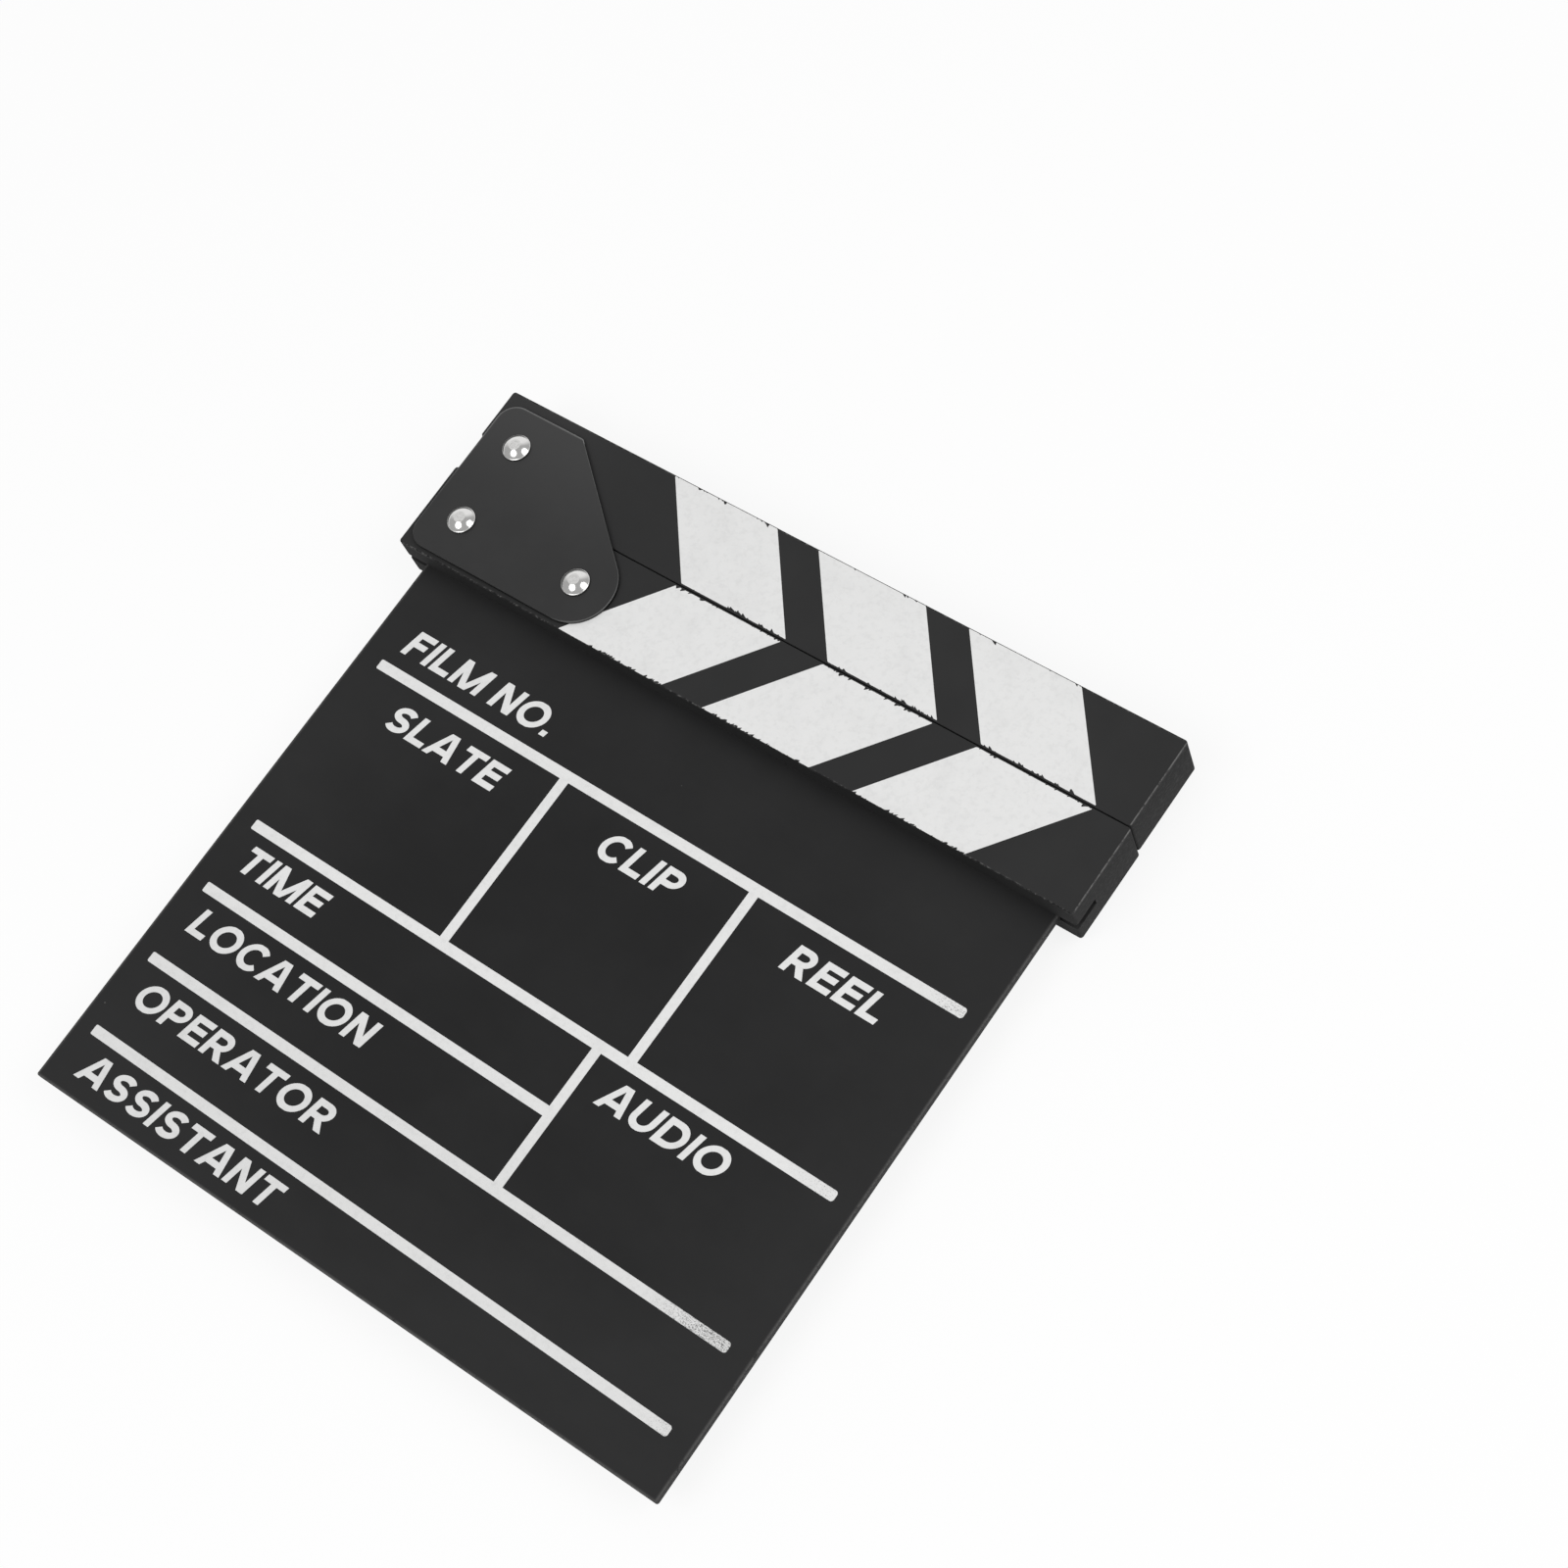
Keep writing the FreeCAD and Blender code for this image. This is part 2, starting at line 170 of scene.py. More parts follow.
class Nodes:
    def __init__(self, owner):  # a material or the world
        owner.use_nodes = True
        self.tree = owner.node_tree
        self.tree.nodes.clear()

    def node(self, kind, settings=None, inputs=None, out=0):
        node = self.tree.nodes.new("ShaderNode" + kind)
        for key, value in (settings or {}).items():
            setattr(node, key, value)
        for key, value in (inputs or {}).items():
            socket = node.inputs[key]
            if isinstance(value, Wire):
                self.tree.links.new(value.socket, socket)
            else:
                socket.default_value = value
        return node if out is None else Wire(self, node.outputs[out])

    def ramp(self, value, low, high, toLow=0.0, toHigh=1.0):
        settings = {"interpolation_type": "SMOOTHSTEP", "clamp": True}
        return self.node("MapRange", settings, {0: value, 1: low, 2: high, 3: toLow, 4: toHigh})

    def fade(self, value, low, high):  # 1 up to low, 0 from high
        return self.ramp(value, low, high, 1.0, 0.0)

    def seenRays(self):  # rays that show the background: from the camera, off gloss, through glass
        rays = self.node("LightPath", out=None)
        names = ("Is Camera Ray", "Is Glossy Ray", "Is Transmission Ray")
        return [Wire(self, rays.outputs[name]) for name in names]


class Finish(Nodes):
    def __init__(self, name):
        self.material = bpy.data.materials.new(name)
        super().__init__(self.material)
        metres = self.node("TexCoord", out="Object")
        perMetre = (1 / mm, 1 / mm, 1 / mm)
        self.spot = self.node("Mapping", {}, {"Vector": metres, "Scale": perMetre}, out="Vector")  # mm
        parts = self.node("SeparateXYZ", {}, {0: self.spot}, out=None)
        self.x, self.y, self.z = [Wire(self, parts.outputs[i]) for i in range(3)]

    def noise(self, size, detail=2.0, rough=0.5, stretch=(1, 1, 1), shift=(0, 0, 0)):  # size in mm
        place = {"Vector": self.spot, "Location": shift, "Scale": stretch}
        inputs = {"Vector": self.node("Mapping", {}, place, out="Vector")}
        inputs.update({"Scale": 1.0 / size, "Detail": detail, "Roughness": rough})
        return self.node("TexNoise", {}, inputs)

    def sway(self, noise, amount):  # noise swinging round nought
        return (noise - 0.5) * amount

    def cells(self, size, out, shift):
        place = self.node("Mapping", {}, {"Vector": self.spot, "Location": shift}, out="Vector")
        return self.node("TexVoronoi", {}, {"Vector": place, "Scale": 1.0 / size}, out=out)

    def specks(self, size, share, radius, shift=(0, 0, 0)):  # sparse dots: one cell in a few holds one
        distance = self.cells(size, "Distance", shift)
        tint = self.cells(size, "Color", shift)
        pick = self.node("SeparateColor", {}, {0: tint}, out=0)
        limit, blur, core = 1.0 - share, 0.004, 0.55
        chosen = self.ramp(pick, limit - blur, limit + blur)
        return chosen * self.fade(distance, radius / size * core, radius / size)

    def mixColour(self, factor, first, second):
        def full(colour):
            return colour if isinstance(colour, Wire) else (*colour, 1.0)
        settings = {"data_type": "RGBA", "clamp_factor": True}
        return self.node("Mix", settings, {0: factor, 6: full(first), 7: full(second)}, out=2)

    def bump(self, height, strength, distance, normal=None):  # distance in mm
        inputs = {"Height": height, "Strength": strength, "Distance": distance * mm}
        if normal is not None:
            inputs["Normal"] = normal
        return self.node("Bump", {}, inputs, out="Normal")

    def close(self, sockets):
        return self.hand(self.node("BsdfPrincipled", {}, sockets))

    def hand(self, shader):
        self.node("OutputMaterial", {}, {0: shader}, out=None)
        return self.material


# finishes of the board's own pieces: patterns and edge widths in mm, ranges of a noise from 0 to 1,
# share is how much a mark covers, sway how far it moves the roughness, relief how high it stands

stickLook = {
    "black": (0.0206, 0.0206, 0.0209), "dusty": (0.0286, 0.0286, 0.0286), "nickShade": (0.003, 0.003, 0.003),
    "bare": (0.165, 0.163, 0.160),                                    # fibre where paint has worn off, also the painted bounce light on the sawn ends
    "paintedLight": (0.0325, 0.0325, 0.0327), "paintedLightFrom": (-50.0, -92.0),    # painted light on the upper stick, lighter towards the hinge
    "roughness": 0.62, "specular": 0.20, "bump": (0.35, 0.05),
    "blotch": {"size": 26, "detail": 3, "rough": 0.55}, "blotchRange": (0.35, 0.75),
    "fine": {"size": 0.55, "detail": 3, "rough": 0.6},
    "grit": {"size": 0.18, "detail": 2, "rough": 0.5},
    "dust": {"size": 5.5, "share": 0.10, "radius": 0.28},
    "patch": {"size": 3.2, "detail": 4, "rough": 0.7}, "patchRange": (0.34, 0.56),
    "chip": {"size": 0.8, "detail": 3, "rough": 0.65}, "chipRange": (0.48, 0.58),
    "bite": {"size": 0.7, "detail": 3, "rough": 0.6}, "biteDepth": 1.5, "biteRange": (-0.62, -0.45),
    "fibre": {"size": 1.3, "detail": 4, "rough": 0.7, "stretch": (1, 1, 2.0)}, "fibreRange": (0.46, 0.70),
    "sawMark": {"size": 0.9, "detail": 5, "rough": 0.7, "stretch": (1, 1, 2.5)},
    "endSkin": (0.15, 0.35), "frontSkin": (0.02, 0.30), "sideSkin": (0.30, 0.80),  # depths below a face
    "floorBounceLight": (4.0, 15.0),                                         # heights, painted light of the floor's bounce, lighter towards the back
    "endLineAt": 0.12, "endLine": (0.06, 0.22), "sideLine": (0.08, 0.55),
    "share": {"blotch": 0.55, "dust": 0.6, "patch": 0.55, "chip": 0.45, "sideLine": 0.75,
              "fibre": 0.75, "floorBounceLight": 0.30, "frayed": 0.17, "worn": 0.85, "shadedNicks": 0.9},
    "sway": {"fine": 0.12, "blotch": 0.14, "side": 0.28},
    "relief": {"fine": 0.6, "grit": 0.4, "sawMark": 6.0},
}


def stickFinish(which):  # 0 lower, 1 upper
    look = stickLook
    share, sway, relief = look["share"], look["sway"], look["relief"]
    low, high = boxOf(("lower_stick", "upper_stick")[which])
    paint = Finish(("lowerStick", "upperStick")[which] + "Paint")
    shift, biteShift = (7.0 * which, 3.0, 11.0), (5, 3 + which, 8)    # each stick has its own marks
    names = ("blotch", "fine", "grit", "patch", "chip", "fibre")
    blotch, fine, grit, patch, chip, fibre = [paint.noise(**look[name], shift=shift) for name in names]
    dust = paint.specks(**look["dust"], shift=shift)
    bite = paint.noise(**look["bite"], shift=biteShift)
    endGap = high.x - paint.x                                         # mm in from each face
    hingeGap = paint.x - low.x
    frontGap = high.z - paint.z
    outerGap = (paint.y - low.y) if which == 0 else (high.y - paint.y)
    sawn = paint.fade(endGap.least(hingeGap), *look["endSkin"])
    onFront = paint.fade(frontGap, *look["frontSkin"])
    side = paint.ramp(frontGap, *look["sideSkin"])                    # duller than the front
    # worn lines along the front edges, broken up by noise, and painted shade in bites out of the outer edge
    broken = paint.ramp(patch * share["patch"] + chip * share["chip"], *look["patchRange"])
    endLine = paint.fade(abs(endGap - look["endLineAt"]), *look["endLine"]) * broken
    sideLine = paint.fade(outerGap, *look["sideLine"]) * paint.ramp(chip, *look["chipRange"])
    worn = (endLine.most(sideLine * share["sideLine"]) * onFront).least(1.0)
    shadedNicks = paint.fade(outerGap - bite * look["biteDepth"], *look["biteRange"]) * onFront
    # painted light on the sawn ends: lighter towards the back, as from the floor's bounce, mixed with the
    # bare fibre
    floorBounceLight = paint.fade(paint.z, *look["floorBounceLight"]) * share["floorBounceLight"]
    frayed = sawn * (paint.ramp(fibre, *look["fibreRange"]) * share["fibre"] + floorBounceLight)
    dusty = paint.ramp(blotch, *look["blotchRange"]) * share["blotch"] + dust * share["dust"]
    base = paint.mixColour(dusty, look["black"], look["dusty"])
    # painted light: the upper stick is made lighter towards the hinge end
    if which == 1:
        base = paint.mixColour(paint.ramp(paint.x, *look["paintedLightFrom"]), base, look["paintedLight"])
    base = paint.mixColour(frayed * share["frayed"], base, look["bare"])
    base = paint.mixColour(worn * share["worn"], base, look["bare"])
    # painted shade: the bites along the outer edge turned near black
    base = paint.mixColour(shadedNicks * share["shadedNicks"], base, look["nickShade"])
    rough = look["roughness"] + paint.sway(fine, sway["fine"]) + paint.sway(blotch, sway["blotch"])
    height = fine * relief["fine"] + grit * relief["grit"]
    height = height + sawn * paint.noise(**look["sawMark"]) * relief["sawMark"]
    return paint.close({
        "Base Color": base, "Roughness": rough + side * sway["side"],
        "Specular IOR Level": look["specular"], "Normal": paint.bump(height, *look["bump"]),
    })


slateLook = {
    "black": (0.0088, 0.0088, 0.0091), "smudgeAndSheen": (0.0178, 0.0178, 0.0181), "bare": (0.120, 0.118, 0.116),
    "roughness": 0.66, "specular": 0.22, "bump": (0.25, 0.04),
    "cloud": {"size": 34, "detail": 4, "rough": 0.6}, "cloudRange": (0.32, 0.74),
    "wipe": {"size": 9, "detail": 4, "rough": 0.65, "stretch": (0.35, 1.0, 1.0)},  # by a hand, sideways
    "fine": {"size": 0.45, "detail": 3, "rough": 0.6}, "fineRange": (0.45, 0.70),
    "scuff": {"size": 5.0, "detail": 5, "rough": 0.75, "stretch": (0.22, 1.6, 1.0)},
    "scuffRange": (0.66, 0.78),
    "patch": {"size": 4.2, "detail": 4, "rough": 0.7}, "patchRange": (0.32, 0.52),
    "grain": {"size": 0.5, "detail": 3, "rough": 0.7},
    "sawMark": {"size": 0.7, "detail": 4, "rough": 0.7},
    "dust": {"size": 9.0, "share": 0.16, "radius": 0.26},
    "frontSkin": (0.02, 0.28), "edgeSkin": (0.03, 0.16), "edgeLine": (0.10, 0.85),
    "sheenReach": (95.0, 78.0), "sheenMiddle": -24.0, "sheenEdge": (0.45, 1.25),   # painted sheen, lighter towards the edges
    "share": {"cloud": 0.5, "scuff": 0.25, "dust": 0.9, "outer": 0.75, "patch": 0.6, "grain": 0.4,
              "bareDust": 0.60, "edgeWearAndHighlight": 0.60, "sawn": 0.35},
    "sway": {"cloud": 0.12, "wipe": 0.16, "scuff": 0.06}, "relief": {"sawMark": 4.0},
}


def slateFinish():
    look = slateLook
    share, sway = look["share"], look["sway"]
    low, high = boxOf("slate_board")
    paint = Finish("slatePaint")
    names = ("cloud", "wipe", "fine", "scuff", "patch", "grain")
    cloud, wipe, fine, streak, patch, grain = [paint.noise(**look[name]) for name in names]
    dust = paint.specks(**look["dust"])
    scuff = paint.ramp(streak, *look["scuffRange"])
    edgeGap = (high.x - paint.x).least(paint.x - low.x).least(paint.y - low.y)
    onFront = paint.fade(high.z - paint.z, *look["frontSkin"])
    broken = paint.ramp(patch * share["patch"] + grain * share["grain"], *look["patchRange"])
    edgeWearAndHighlight = paint.fade(edgeGap, *look["edgeLine"]) * broken * onFront   # grainy light line along the edges
    sawn = paint.fade(edgeGap, *look["edgeSkin"]) * (1 - onFront)
    # painted sheen: the slate lighter in a ring towards its edges, added to its real smudges and dust
    reachX, reachY = look["sheenReach"]
    offX, offY = paint.x / reachX, (paint.y - look["sheenMiddle"]) / reachY
    outer = paint.ramp((offX * offX + offY * offY) ** 0.5, *look["sheenEdge"])
    smudgeAndSheen = paint.ramp(cloud, *look["cloudRange"]) * share["cloud"] + scuff * share["scuff"]
    smudgeAndSheen = smudgeAndSheen + dust * share["dust"] + outer * share["outer"]
    base = paint.mixColour(smudgeAndSheen, look["black"], look["smudgeAndSheen"])
    base = paint.mixColour(dust * share["bareDust"], base, look["bare"])
    base = paint.mixColour(edgeWearAndHighlight * share["edgeWearAndHighlight"], base, look["bare"])
    base = paint.mixColour(sawn * paint.ramp(fine, *look["fineRange"]) * share["sawn"], base, look["bare"])
    rough = look["roughness"] + paint.sway(cloud, sway["cloud"]) + paint.sway(wipe, sway["wipe"])
    height = fine + sawn * paint.noise(**look["sawMark"]) * look["relief"]["sawMark"]
    return paint.close({
        "Base Color": base, "Roughness": rough - scuff * sway["scuff"],
        "Specular IOR Level": look["specular"], "Normal": paint.bump(height, *look["bump"]),
    })


plateLook = {
    "black": (0.0105, 0.0105, 0.0107), "grey": (0.0170, 0.0170, 0.0172), "cut": (0.002, 0.002, 0.002),
    "edge": (0.230, 0.230, 0.228),                                    # painted highlight along the rounded edges
    "paintedLight": (0.0300, 0.0300, 0.0302), "paintedLightFrom": (66.0, 104.0),     # painted light, lighter towards the top by the hinge corner
    "roughness": 0.40, "specular": 0.44, "bump": (0.20, 0.04),
    "peel": {"size": 0.9, "detail": 2, "rough": 0.45},                # orange peel of sprayed enamel
    "haze": {"size": 14, "detail": 3, "rough": 0.6}, "hazeRange": (0.35, 0.72),
    "scratch": {"size": 2.2, "detail": 5, "rough": 0.8, "stretch": (0.12, 2.4, 1.0)},
    "scratchRange": (0.70, 0.80),
    "dust": {"size": 3.2, "share": 0.07, "radius": 0.16},
    "cornerRadius": 5.2,
    "roundStart": (0.01, 0.08), "roundEnd": (0.20, 0.34), "sides": (0.34, 0.44),   # depths below the face; sides marks the walls given painted shade
    "highlightFrom": (66.0, 92.0, 0.05, 1.0), "endFrom": (-53.0, -46.0),
    "slant": (0.8, 1.4, 1.0, 0.28),                                   # the slanted side gets little painted highlight
    "besideLine": (0.25, 0.62), "besideSkin": (0.30, 0.36), "uneven": (0.20, 0.55, 0.55, 1.0),
    "share": {"haze": 0.6, "dust": 0.8, "end": 0.42, "beside": 0.42},
    "sway": {"haze": 0.16, "peel": 0.08, "dust": 0.2, "scratch": 0.05, "rounded": 0.14},
    "relief": {"dust": 1.5},
}


def plateFinish(which, shift):
    look = plateLook
    share, sway = look["share"], look["sway"]
    low, high = boxOf(which + "_hinge_plate")
    enamel = Finish(which + "PlateEnamel")
    sunk = (high.z - enamel.z) if which == "front" else (enamel.z - low.z)   # mm below the outer face
    names = ("peel", "haze", "scratch")
    peel, haze, streak = [enamel.noise(**look[name], shift=shift) for name in names]
    dust = enamel.specks(**look["dust"], shift=shift)
    scratch = enamel.ramp(streak, *look["scratchRange"])
    dulled = enamel.ramp(haze, *look["hazeRange"]) * share["haze"] + dust * share["dust"]
    base = enamel.mixColour(dulled, look["black"], look["grey"])
    # painted light: the plate lighter towards its top
    base = enamel.mixColour(enamel.ramp(enamel.y, *look["paintedLightFrom"]), base, look["paintedLight"])
    # painted highlight along the rounded edges and just inside them, most of all round the hinge corner and
    # along the top
    radius = look["cornerRadius"]
    left, over = (low.x + radius - enamel.x).most(0.0), (enamel.y - (high.y - radius)).most(0.0)
    inward = radius - (left * left + over * over) ** 0.5              # mm in from the top and the hinge end
    rounded = enamel.ramp(sunk, *look["roundStart"]) * enamel.fade(sunk, *look["roundEnd"])
    highlightTowardsTop = enamel.ramp(enamel.y, *look["highlightFrom"])
    endHighlight = enamel.ramp(enamel.x, *look["endFrom"]) * share["end"]
    beside = enamel.fade(inward, *look["besideLine"]) * enamel.fade(sunk, *look["besideSkin"])
    edgeWearAndHighlight = rounded * (highlightTowardsTop * enamel.ramp(inward, *look["slant"])).most(endHighlight)
    edgeWearAndHighlight = edgeWearAndHighlight.most(beside * highlightTowardsTop * share["beside"]) * enamel.ramp(haze, *look["uneven"])
    base = enamel.mixColour(edgeWearAndHighlight, base, look["edge"])
    # painted shade: the plate's side walls turned near black
    base = enamel.mixColour(enamel.ramp(sunk, *look["sides"]), base, look["cut"])
    rough = look["roughness"] + enamel.sway(haze, sway["haze"]) + enamel.sway(peel, sway["peel"])
    rough = rough + dust * sway["dust"] + scratch * sway["scratch"]
    return enamel.close({
        "Base Color": base, "Roughness": rough - rounded * sway["rounded"],
        "Specular IOR Level": look["specular"],
        "Normal": enamel.bump(peel + dust * look["relief"]["dust"], *look["bump"]),
    })


rivetLook = {
    "nickel": (0.74, 0.735, 0.725), "stain": (0.50, 0.495, 0.485), "seamShade": (0.006, 0.006, 0.006),
    "rivets": ("pivot", "near", "far"),
    "head": 3.65, "flat": 1.42,                                       # radii
    "lipIn": 0.31, "dullIn": (0.15, 0.39), "seamIn": (0.02, 0.08),    # in from the head's edge
    "roughness": 0.13, "specular": 0.1, "bump": (0.42, 0.09), "lipBump": (1.0, 1.0),
    "wobble": {"size": 1.3, "detail": 3, "rough": 0.6}, "uneven": 0.45,   # of the struck flat's edge
    "pits": {"size": 0.42, "detail": 4, "rough": 0.7}, "pitRange": (0.44, 0.66),
    "dents": {"size": 0.95, "detail": 2, "rough": 0.5, "shift": (4, 9, 2)},
    "hair": {"size": 0.5, "detail": 3, "rough": 0.7, "stretch": (0.3, 3.0, 1.0)},
    "flatEdge": (-0.40, 0.12), "ring": (0.02, 0.30),
    "share": {"pits": 0.55, "ring": 0.15, "seamShade": 0.96, "seamShadeMatte": 0.9},
    "sway": {"flat": 0.14, "hair": 0.08, "lip": 0.17, "seamShade": 0.20},
    "relief": {"pits": 0.8, "dents": 1.2, "hair": 0.05, "lip": 5.0, "lipPower": 3.2},
}


def rivetFinish():
    look = rivetLook
    share, sway, relief = look["share"], look["sway"], look["relief"]
    metal = Finish("rivetNickel")
    reach = None
    for rivet in look["rivets"]:                                      # mm from the nearest rivet's axis
        low, high = boxOf(rivet + "_rivet_cap")
        offX, offY = metal.x - (high.x - look["head"]), metal.y - (low.y + high.y) / 2
        away = (offX * offX + offY * offY) ** 0.5
        reach = away if reach is None else reach.least(away)
    wobble, pits, dents, hair = [metal.noise(**look[name]) for name in ("wobble", "pits", "dents", "hair")]
    struck = reach + metal.sway(wobble, look["uneven"]) - look["flat"]    # mm out from the flat's edge
    flat = metal.fade(struck, *look["flatEdge"])
    ring = metal.fade(abs(struck), *look["ring"])
    edgeGap = look["head"] - reach                                    # mm in from the head's edge
    dull, seamShade = metal.fade(edgeGap, *look["dullIn"]), metal.fade(edgeGap, *look["seamIn"])
    rolled = (look["lipIn"] - edgeGap).most(0.0)                      # mm into the lip on the plate
    lip = metal.bump(rolled ** relief["lipPower"] * relief["lip"], *look["lipBump"])
    stained = flat * metal.ramp(pits, *look["pitRange"]) * share["pits"] + ring * share["ring"]
    base = metal.mixColour(stained, look["nickel"], look["stain"])
    # painted shade in the seam round the head's edge: near black and less metallic
    base = metal.mixColour(seamShade * share["seamShade"], base, look["seamShade"])
    rough = look["roughness"] + flat * sway["flat"] + metal.sway(hair, sway["hair"])
    rough = rough + dull * sway["lip"] + seamShade * sway["seamShade"]
    height = flat * (metal.sway(pits, relief["pits"]) + metal.sway(dents, relief["dents"]))
    height = height + hair * relief["hair"]
    return metal.close({
        "Base Color": base, "Metallic": 1 - seamShade * share["seamShadeMatte"], "Roughness": rough,
        "Specular IOR Level": look["specular"], "Normal": metal.bump(height, *look["bump"], lip),
    })


inkLook = {
    "white": (0.828, 0.828, 0.823), "thin": (0.690, 0.690, 0.686),
    "roughness": 0.55, "specular": 0.35, "bump": (0.22, 0.03),
    "greyerFrom": (-20.0, -70.0),                                       # greyer towards the slate's foot
    "tooth": {"size": 0.5, "detail": 3, "rough": 0.65},
    "cloud": {"size": 7.5, "detail": 4, "rough": 0.6}, "cloudRange": (0.42, 0.80),
    "weave": {"size": 1.4, "detail": 3, "rough": 0.6}, "weaveRange": (0.46, 0.70),
    "speckle": {"size": 0.36, "detail": 3, "rough": 0.75}, "speckleRange": (0.58, 0.80), "clumps": 0.12,
    "pinholes": {"size": 2.6, "share": 0.05, "radius": 0.12},
    "wornFull": 0.3, "lineHalf": (3.0, 3.4),                          # share of length, mm off the middle
    "share": {"cloud": 0.30, "weave": 0.32, "tooth": 0.25, "thin": 0.45, "pinholes": 0.7, "worn": 0.9},
    "sway": {"tooth": 0.2},
}


def inkFinish(name, shift, wornEnds=()):
    look = inkLook
    share = look["share"]
    ink = Finish(name)
    tooth, cloud, weave = [ink.noise(**look[key], shift=shift) for key in ("tooth", "cloud", "weave")]
    thinned = ink.ramp(cloud, *look["cloudRange"]) * share["cloud"]
    thinned = thinned + ink.ramp(weave, *look["weaveRange"]) * share["weave"] + tooth * share["tooth"]
    thinned = thinned + ink.ramp(ink.y, *look["greyerFrom"]) * share["thin"]
    base = ink.mixColour(thinned, look["white"], look["thin"])
    bared = ink.specks(**look["pinholes"], shift=shift) * share["pinholes"]
    for endX, length, lineY, depth in wornEnds:                       # ink rubbed thin towards a line's end
        near = ink.ramp(ink.x, endX - length, endX - look["wornFull"] * length)
        onLine = ink.fade(abs(ink.y - lineY), *look["lineHalf"])
        speckle = ink.noise(**look["speckle"], shift=(lineY, 2, 5)) + ink.sway(cloud, look["clumps"])
        gone = ink.ramp(speckle + near * depth, *look["speckleRange"])
        bared = bared.most(gone * near * onLine * share["worn"])
    base = ink.mixColour(bared, base, slateLook["smudgeAndSheen"])
    return ink.close({
        "Base Color": base, "Roughness": look["roughness"] + ink.sway(tooth, look["sway"]["tooth"]),
        "Specular IOR Level": look["specular"], "Normal": ink.bump(tooth, *look["bump"]),
    })


nodeFinishes = {
    "lower_stick": stickFinish(0),
    "upper_stick": stickFinish(1),
    "slate_board": slateFinish(),
    "front_hinge_plate": plateFinish("front", (0, 0, 0)),
    "rear_hinge_plate": plateFinish("rear", (31, 17, 5)),
}
rivetMetal = rivetFinish()
for nodeName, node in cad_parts.items():
    node.data.materials.clear()
    node.data.materials.append(nodeFinishes.get(nodeName, rivetMetal))
print("finishes set on the board's own pieces")


# white stripes printed on the two sticks

stripeSettings = {
    "count": 3, "film": 0.06, "proud": 0.035,                         # mm
    "upper": {"foot": 78.08, "top": 101.42, "seed": 61,
              "start": -28.94, "width": 31.42, "pitch": 43.75, "lean": -19.21},
    "lower": {"foot": 53.55, "top": 77.00, "seed": 11,
              "start": -48.74, "width": 31.60, "pitch": 43.94, "lean": 19.02},
    "seedStep": 7, "cuts": 15,                                        # cut twice, a point every 0.12 mm
    "chips": {                                                        # depth at most, count by stripe
        "upperTop": (0.90, (12, 4, 5)), "upperFoot": (0.78, (30, 26, 18)),
        "lowerTop": (0.85, (20, 22, 14)), "lowerFoot": (0.60, (36, 30, 26)),
    },
    "knocks": 3, "nearKnock": 0.6, "knockSpread": 2.2,                # most chips crowd round a few knocks
    "chipHalf": (0.12, 0.66), "chipLeast": 0.08, "chipSteep": (0.55, 1.5),
    "chipLean": 0.7, "chipBlunt": (0.4, 1.5), "frayed": 0.045, "cornerRound": 0.20,
}


def chipsAlong(dice, count, deepest, width):
    s = stripeSettings
    knocks = [dice.uniform(-0.5, 0.5) * width for _ in range(s["knocks"])]
    smallest, largest = s["chipHalf"]
    chips = []
    for _ in range(count):
        if dice.random() < s["nearKnock"]:
            middle = dice.choice(knocks) + dice.gauss(0, s["knockSpread"])
        else:
            middle = dice.uniform(-0.5, 0.5) * width
        half = smallest * (largest / smallest) ** dice.random()
        deep = min(deepest, s["chipLeast"] + half * dice.uniform(*s["chipSteep"]))
        lean = dice.uniform(-s["chipLean"], s["chipLean"])
        chips.append((middle, half, deep, lean, dice.uniform(*s["chipBlunt"])))
    return chips


def chipDepthAt(place, chips):
    depth = 0.0
    for middle, half, deep, lean, blunt in chips:
        across = (place - middle) / half
        if abs(across) < 1.0:
            share = (across + 1) / (lean + 1) if across < lean else (1 - across) / (1 - lean)
            depth = max(depth, deep * share ** blunt)
    return depth


def cornerDepth(place, width):  # rounds off both ends of a stripe's edge
    radius = stripeSettings["cornerRound"]
    short = 1.0 - (width / 2 - abs(place)) / radius
    short = min(max(short, 0.0), 1.0)
    return radius * (1.0 - math.sqrt(1.0 - short * short))


def stripe(stick, number):
    s = stripeSettings
    level = s[stick]
    dice = random.Random(level["seed"] + s["seedStep"] * number)
    width, leanTop = level["width"], level["lean"]
    height = level["top"] - level["foot"]
    sheet = flatSheet(width, height)
    for _ in range(2):
        pickEdges(sheet, lambda a, b: abs(a.y - b.y) < tiny)
        bpy.ops.mesh.subdivide(number_cuts=s["cuts"])
    pickVerts(sheet, lambda co: co.y > 0)
    bpy.ops.transform.translate(value=(leanTop * mm, 0, 0))           # leans the sheet
    bpy.ops.object.mode_set(mode="OBJECT")
    for side in (-1, 1):
        deepest, counts = s["chips"][stick + ("Top" if side > 0 else "Foot")]
        chips = chipsAlong(dice, counts[number], deepest, width)
        shift = leanTop if side > 0 else 0.0
        for vert in sheet.data.vertices:
            if vert.co.y * side > 0:
                along = vert.co.x / mm - shift
                depth = max(chipDepthAt(along, chips), cornerDepth(along, width))
                depth += dice.uniform(0.0, s["frayed"])
                vert.co.y -= side * depth * mm
                vert.co.x += (-leanTop / height) * side * depth * mm
    middleX = level["start"] + number * level["pitch"] + width / 2
    middleY = (level["foot"] + level["top"]) / 2
    front = boxOf(stick + "_stick")[1].z
    sheet.location = (middleX * mm, middleY * mm, (front + s["proud"]) * mm)
    settle(sheet)
    thicken(sheet, s["film"] * mm)
    return sheet


def stripesOn(stick, name):
    return joinPieces([stripe(stick, i) for i in range(stripeSettings["count"])], name)


